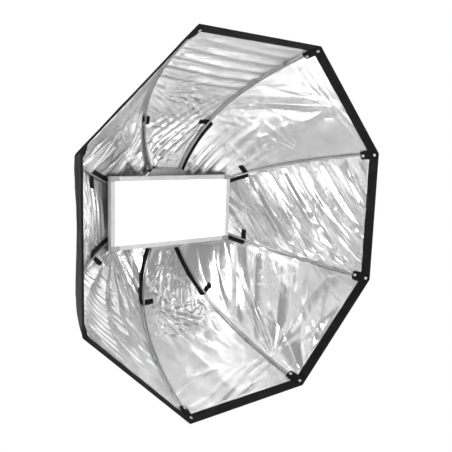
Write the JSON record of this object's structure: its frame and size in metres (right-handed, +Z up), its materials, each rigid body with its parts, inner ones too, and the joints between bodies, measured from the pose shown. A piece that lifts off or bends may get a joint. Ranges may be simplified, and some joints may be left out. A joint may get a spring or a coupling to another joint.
{
  "type": "studio softbox",
  "caption": "Octagonal softbox with a silver-lined bowl on bent rods, a flat rectangular LED panel light in front of its hub, and a tilting yoke with a stand socket.",
  "frame": {"origin": "centre of the mouth of the stand socket, on the receiver's bottom face", "axes": "+Z up, opposite to the way a stand's spigot leaves the socket; -Y the way the bowl's opening faces at rest; +X to the right as seen from the front"},
  "size_m": [1.3872, 0.9846, 1.3872],
  "materials": {
    "silver_lining": "crinkled metallised cloth, silver inside and black outside",
    "black_webbing": "woven webbing and loop tape",
    "rod_steel": "drawn spring rod",
    "hub_aluminium": "satin anodised",
    "panel_aluminium": "satin anodised extrusion",
    "diffuser_white": "opal sheet, lit",
    "board_white": "white solder mask",
    "cast_black": "fine-textured black powder coat",
    "black_plastic": "moulded, fine grain",
    "zinc_steel": "zinc plated"
  },
  "bodies": {
    "stand": {"tilt_yoke": "cast_black", "stand_receiver": "cast_black"},
    "softbox": {"skin_gore_1": "silver_lining", "skin_gore_2": "silver_lining", "skin_gore_3": "silver_lining", "skin_gore_4": "silver_lining", "skin_gore_5": "silver_lining", "skin_gore_6": "silver_lining", "skin_gore_7": "silver_lining", "skin_gore_8": "silver_lining", "front_band": "black_webbing", "rear_collar": "black_webbing", "corner_pocket_1": "black_webbing", "corner_pocket_2": "black_webbing", "corner_pocket_3": "black_webbing", "corner_pocket_4": "black_webbing", "corner_pocket_5": "black_webbing", "corner_pocket_6": "black_webbing", "corner_pocket_7": "black_webbing", "corner_pocket_8": "black_webbing", "rib_strap_1": "black_webbing", "rib_strap_2": "black_webbing", "rib_strap_3": "black_webbing", "rib_strap_4": "black_webbing", "rib_strap_5": "black_webbing", "rib_strap_6": "black_webbing", "rib_strap_7": "black_webbing", "rib_strap_8": "black_webbing", "rib_rod_1": "rod_steel", "rib_rod_2": "rod_steel", "rib_rod_3": "rod_steel", "rib_rod_4": "rod_steel", "rib_rod_5": "rod_steel", "rib_rod_6": "rod_steel", "rib_rod_7": "rod_steel", "rib_rod_8": "rod_steel", "rod_socket_1": "cast_black", "rod_socket_2": "cast_black", "rod_socket_3": "cast_black", "rod_socket_4": "cast_black", "rod_socket_5": "cast_black", "rod_socket_6": "cast_black", "rod_socket_7": "cast_black", "rod_socket_8": "cast_black", "hub_ring": "hub_aluminium", "panel_bezel": "panel_aluminium", "panel_back_cover": "panel_aluminium", "light_diffuser": "diffuser_white", "led_board": "board_white", "driver_housing": "cast_black", "power_supply": "zinc_steel", "power_inlet": "black_plastic", "tilt_ear_left": "cast_black", "tilt_ear_right": "cast_black"},
    "power_switch": {"power_switch": "black_plastic"},
    "dimmer_knob": {"dimmer_knob": "black_plastic"},
    "tilt_lock_knob_left": {"tilt_lock_knob_left": "black_plastic"},
    "tilt_lock_knob_right": {"tilt_lock_knob_right": "black_plastic"},
    "clamp_screw": {"clamp_pad": "zinc_steel"},
    "clamp_knob": {"clamp_knob": "black_plastic"}
  },
  "joints": [
    {"name": "tilt", "type": "hinge", "parent": "stand", "child": "softbox", "pos_m": [0, -0.2083, 0.068], "axis": [1, 0, 0], "range_deg": [-60, 60]},
    {"name": "tilt_lock_left", "type": "hinge", "parent": "stand", "child": "tilt_lock_knob_left", "pos_m": [-0.1719, -0.2083, 0.068], "axis": [-1, 0, 0], "range_deg": [0, 360]},
    {"name": "tilt_lock_right", "type": "hinge", "parent": "stand", "child": "tilt_lock_knob_right", "pos_m": [0.1719, -0.2083, 0.068], "axis": [1, 0, 0], "range_deg": [0, 360]},
    {"name": "clamp_travel", "type": "slide", "parent": "stand", "child": "clamp_screw", "axis": [0, 1, 0], "range_m": [0, 0.003]},
    {"name": "clamp_turn", "type": "hinge", "parent": "clamp_screw", "child": "clamp_knob", "pos_m": [0, 0.03, 0.03], "axis": [0, 1, 0], "range_deg": [0, 720]},
    {"name": "switch_rock", "type": "hinge", "parent": "softbox", "child": "power_switch", "pos_m": [-0.024, -0.2286, 0.03], "axis": [1, 0, 0], "range_deg": [-14, 0]},
    {"name": "dimmer_turn", "type": "hinge", "parent": "softbox", "child": "dimmer_knob", "pos_m": [0.062, -0.2286, 0.03], "axis": [0, 1, 0], "range_deg": [0, 270]}
  ],
  "couplings": [
    {"joint": "clamp_travel", "follows": "clamp_turn", "m_per_rad": 0.00023873}
  ]
}
